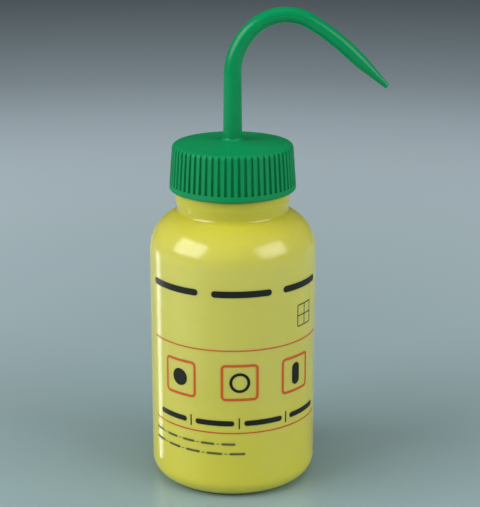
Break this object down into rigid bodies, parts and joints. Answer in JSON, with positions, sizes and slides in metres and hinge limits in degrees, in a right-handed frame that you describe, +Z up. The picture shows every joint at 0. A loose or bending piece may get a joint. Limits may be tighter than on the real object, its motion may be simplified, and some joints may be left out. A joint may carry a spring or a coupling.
{
  "type": "wash bottle",
  "caption": "Squeeze wash bottle: translucent round body, ribbed screw cap moulded in one with a bent tapered spout, and a curved dip tube inside.",
  "frame": {"origin": "centre of the bottle's standing ring, on the surface that it stands on", "axes": "+Z up along the bottle's axis, +X the way the spout bends"},
  "size_m": [0.1076, 0.076, 0.2186],
  "materials": {
    "bottle_ldpe": "translucent yellow, satin to glossy blown surface",
    "cap_pe": "opaque green, satin moulded surface",
    "tube_ldpe": "natural translucent extruded tube"
  },
  "bodies": {
    "bottle": {"bottle": "bottle_ldpe"},
    "dip_tube": {"dip_tube": "tube_ldpe"},
    "spout_cap": {"spout_cap": "cap_pe"}
  },
  "joints": [
    {"name": "cap_rise", "type": "slide", "parent": "bottle", "child": "dip_tube", "axis": [0, 0, 1], "range_m": [0, 0.006]},
    {"name": "cap_turn", "type": "hinge", "parent": "dip_tube", "child": "spout_cap", "pos_m": [0, 0, 0.15], "axis": [0, 0, 1], "range_deg": [0, 540]}
  ],
  "couplings": [
    {"joint": "cap_rise", "follows": "cap_turn", "m_per_rad": 0.00063662}
  ]
}
